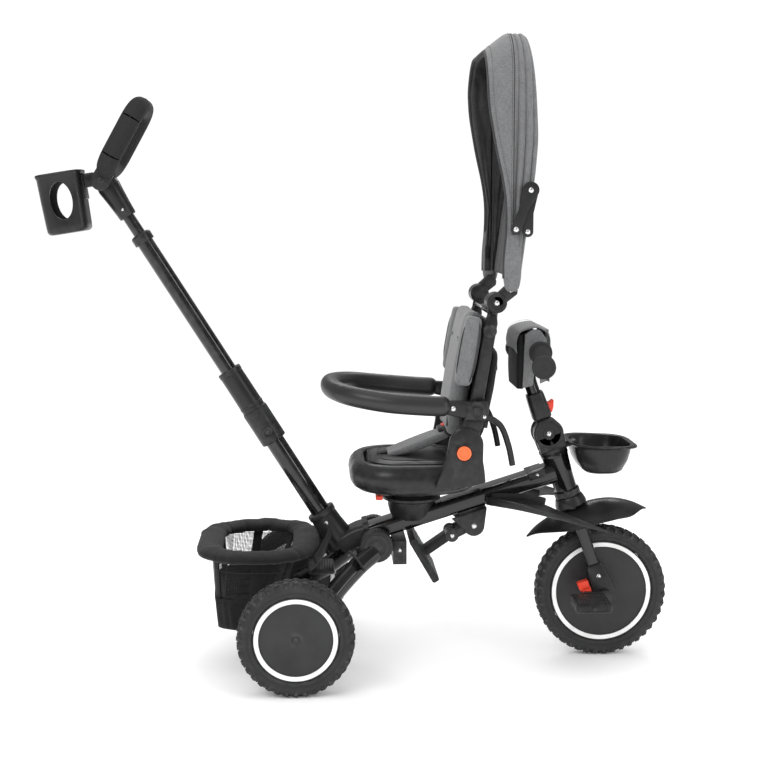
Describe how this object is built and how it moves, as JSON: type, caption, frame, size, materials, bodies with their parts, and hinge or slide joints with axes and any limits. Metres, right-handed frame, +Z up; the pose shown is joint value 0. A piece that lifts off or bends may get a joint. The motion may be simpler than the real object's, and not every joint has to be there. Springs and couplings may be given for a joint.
{
  "type": "children's tricycle",
  "caption": "Children's push tricycle with a swivelling reclining seat, guard bar, folding hood, telescopic push pole with cup holder, rear basket and front tray.",
  "frame": {"origin": "middle of the footprint on the floor, centre plane", "axes": "+X the riding direction (towards the front wheel), +Y the rider's left, +Z up"},
  "size_m": [1.164, 0.462, 1.15],
  "materials": {
    "tube_black": "gloss black powder coat",
    "plastic_black": "moulded, fine texture",
    "plastic_grey": "moulded dark grey",
    "wheel_plastic": "moulded disc with a pale ring",
    "tyre": "dull foam rubber",
    "grip_rubber": "ribbed",
    "grip_foam": "foam sleeve",
    "leatherette": "satin",
    "cloth_grey": "melange weave",
    "cloth_black": "plain weave",
    "red_plastic": "satin",
    "orange_plastic": "satin",
    "steel": "zinc plated"
  },
  "bodies": {
    "frame": {"main_frame": "tube_black", "footrest_wings": "plastic_grey", "swivel_base": "plastic_black", "rear_knuckle": "plastic_black", "beam_bracket": "plastic_grey", "basket": "cloth_black", "pole_lower": "tube_black"},
    "rear_frame": {"rear_frame": "tube_black", "rear_axle": "steel"},
    "brake_pedal": {"brake_pedal": "plastic_black"},
    "rear_wheel_left": {"rear_tyre_left": "tyre", "rear_wheel_left": "wheel_plastic"},
    "rear_wheel_right": {"rear_tyre_right": "tyre", "rear_wheel_right": "wheel_plastic"},
    "fork": {"fork": "tube_black", "fork_end_left": "plastic_black", "fork_end_right": "plastic_black", "mudguard": "plastic_black", "stem_base": "plastic_black", "front_bin": "plastic_black"},
    "front_wheel": {"front_tyre": "tyre", "front_wheel": "wheel_plastic"},
    "cranks": {"cranks": "steel"},
    "pedal_left": {"pedal_left": "plastic_black"},
    "pedal_right": {"pedal_right": "plastic_black"},
    "clutch_button_left": {"clutch_button_left": "red_plastic"},
    "clutch_button_right": {"clutch_button_right": "red_plastic"},
    "stem": {"stem": "tube_black", "grip_left": "grip_rubber", "grip_right": "grip_rubber", "pouch": "cloth_grey"},
    "stem_lever": {"stem_lever": "red_plastic"},
    "seat": {"swivel_top": "plastic_black", "seat_shell": "plastic_black", "seat_cushion": "cloth_grey", "seat_bracket_left": "plastic_black", "seat_bracket_right": "plastic_black"},
    "seat_lever": {"seat_lever": "red_plastic"},
    "recline_button_left": {"recline_button_left": "orange_plastic"},
    "recline_button_right": {"recline_button_right": "orange_plastic"},
    "back": {"back_frame": "tube_black", "back_cushion": "cloth_grey", "back_bag": "cloth_black"},
    "guard_bar": {"guard_bar": "leatherette"},
    "guard_button_left": {"guard_button_left": "plastic_grey"},
    "guard_button_right": {"guard_button_right": "plastic_grey"},
    "hood": {"hood_arms": "plastic_black", "hood_rear": "cloth_grey"},
    "hood_front": {"hood_front": "cloth_grey"},
    "struts_lower": {"strut_lower_left": "plastic_black", "strut_lower_right": "plastic_black"},
    "struts_upper": {"strut_upper_left": "plastic_black", "strut_upper_right": "plastic_black"},
    "pole_mid": {"pole_mid": "tube_black"},
    "pole_top": {"pole_top": "plastic_black", "cup_holder": "plastic_black"},
    "pole_button": {"pole_button": "plastic_grey"},
    "push_grip": {"push_grip": "grip_foam"},
    "flip_arm": {"flip_arm": "plastic_grey"},
    "flip_plate": {"flip_plate": "plastic_black"}
  },
  "joints": [
    {"name": "rear_fold", "type": "hinge", "parent": "frame", "child": "rear_frame", "pos_m": [0.029, 0, 0.229], "axis": [0, 1, 0], "range_deg": [-85, 0]},
    {"name": "rear_wheel_left_spin", "type": "hinge", "parent": "rear_frame", "child": "rear_wheel_left", "pos_m": [-0.118, 0.21, 0.104], "axis": [0, 1, 0], "continuous": true},
    {"name": "rear_wheel_right_spin", "type": "hinge", "parent": "rear_frame", "child": "rear_wheel_right", "pos_m": [-0.118, -0.21, 0.104], "axis": [0, 1, 0], "continuous": true},
    {"name": "brake", "type": "hinge", "parent": "rear_frame", "child": "brake_pedal", "pos_m": [-0.118, 0, 0.104], "axis": [0, 1, 0], "range_deg": [0, 16]},
    {"name": "steering", "type": "hinge", "parent": "frame", "child": "fork", "pos_m": [0.39417, 0, 0.30643], "axis": [-0.3272, 0, 0.9449], "range_deg": [-20, 20]},
    {"name": "front_wheel_spin", "type": "hinge", "parent": "fork", "child": "front_wheel", "pos_m": [0.457, 0, 0.125], "axis": [0, 1, 0], "continuous": true},
    {"name": "crank_spin", "type": "hinge", "parent": "fork", "child": "cranks", "pos_m": [0.457, 0, 0.125], "axis": [0, 1, 0], "continuous": true},
    {"name": "pedal_left_spin", "type": "hinge", "parent": "cranks", "child": "pedal_left", "pos_m": [0.493, 0.1, 0.125], "axis": [0, 1, 0], "continuous": true},
    {"name": "pedal_right_spin", "type": "hinge", "parent": "cranks", "child": "pedal_right", "pos_m": [0.421, -0.1, 0.125], "axis": [0, 1, 0], "continuous": true},
    {"name": "clutch_left", "type": "slide", "parent": "fork", "child": "clutch_button_left", "axis": [0.9449, 0, 0.3272], "range_m": [0, 0.003], "stiffness_N_per_m": 600},
    {"name": "clutch_right", "type": "slide", "parent": "fork", "child": "clutch_button_right", "axis": [0.9449, 0, 0.3272], "range_m": [0, 0.003], "stiffness_N_per_m": 600},
    {"name": "stem_fold", "type": "hinge", "parent": "fork", "child": "stem", "pos_m": [0.35209, 0, 0.42795], "axis": [0, 1, 0], "range_deg": [0, 80]},
    {"name": "stem_release", "type": "hinge", "parent": "stem", "child": "stem_lever", "pos_m": [0.35652, 0, 0.46589], "axis": [0, 1, 0], "range_deg": [0, 25], "stiffness_Nm_per_rad": 0.2},
    {"name": "seat_swivel", "type": "hinge", "parent": "frame", "child": "seat", "pos_m": [0.097, 0, 0.3046], "axis": [0, 0, 1], "continuous": true},
    {"name": "seat_release", "type": "hinge", "parent": "seat", "child": "seat_lever", "pos_m": [0.0415, -0.039, 0.3205], "axis": [0, 1, 0], "range_deg": [0, 12], "stiffness_Nm_per_rad": 0.2},
    {"name": "recline", "type": "hinge", "parent": "seat", "child": "back", "pos_m": [0.18, 0, 0.416], "axis": [0, 1, 0], "range_deg": [-12, 2]},
    {"name": "recline_press_left", "type": "slide", "parent": "seat", "child": "recline_button_left", "axis": [0, -1, 0], "range_m": [0, 0.004], "stiffness_N_per_m": 500},
    {"name": "recline_press_right", "type": "slide", "parent": "seat", "child": "recline_button_right", "axis": [0, 1, 0], "range_m": [0, 0.004], "stiffness_N_per_m": 500},
    {"name": "guard_swing", "type": "hinge", "parent": "back", "child": "guard_bar", "pos_m": [0.157, 0, 0.4975], "axis": [0, 1, 0], "range_deg": [0, 75]},
    {"name": "guard_press_left", "type": "slide", "parent": "back", "child": "guard_button_left", "axis": [0, -1, 0], "range_m": [0, 0.0025], "stiffness_N_per_m": 400},
    {"name": "guard_press_right", "type": "slide", "parent": "back", "child": "guard_button_right", "axis": [0, 1, 0], "range_m": [0, 0.0025], "stiffness_N_per_m": 400},
    {"name": "hood_tilt", "type": "hinge", "parent": "back", "child": "hood", "pos_m": [0.236, 0, 0.681], "axis": [0, 1, 0], "range_deg": [-30, 8]},
    {"name": "hood_open", "type": "hinge", "parent": "hood", "child": "hood_front", "pos_m": [0.26, 0, 0.704], "axis": [0, 1, 0], "range_deg": [-70, 0]},
    {"name": "strut_lower_swing", "type": "hinge", "parent": "hood", "child": "struts_lower", "pos_m": [0.286, 0, 0.805], "axis": [0, 1, 0], "range_deg": [-115, 0]},
    {"name": "strut_upper_swing", "type": "hinge", "parent": "struts_lower", "child": "struts_upper", "pos_m": [0.29, 0, 0.876], "axis": [0, 1, 0], "range_deg": [0, 153]},
    {"name": "pole_mid_slide", "type": "slide", "parent": "frame", "child": "pole_mid", "axis": [-0.5329, 0, 0.8462], "range_m": [-0.2, 0]},
    {"name": "pole_top_slide", "type": "slide", "parent": "pole_mid", "child": "pole_top", "axis": [-0.5329, 0, 0.8462], "range_m": [-0.02, 0.15]},
    {"name": "pole_press", "type": "slide", "parent": "frame", "child": "pole_button", "axis": [0, 1, 0], "range_m": [0, 0.002], "stiffness_N_per_m": 400},
    {"name": "grip_tilt", "type": "hinge", "parent": "pole_top", "child": "push_grip", "pos_m": [-0.4625, 0, 0.894], "axis": [0, 1, 0], "range_deg": [-45, 29]},
    {"name": "footrest_swing", "type": "hinge", "parent": "frame", "child": "flip_arm", "pos_m": [0.212, 0, 0.258], "axis": [0, 1, 0], "range_deg": [-90, 0]},
    {"name": "footrest_plate_tilt", "type": "hinge", "parent": "flip_arm", "child": "flip_plate", "pos_m": [0.172, 0, 0.238], "axis": [0, 1, 0], "range_deg": [-60, 0]}
  ],
  "couplings": [
    {"joint": "crank_spin", "follows": "front_wheel_spin", "ratio": 1},
    {"joint": "strut_lower_swing", "follows": "hood_open", "ratio": 1.635},
    {"joint": "strut_upper_swing", "follows": "hood_open", "ratio": -2.178}
  ]
}
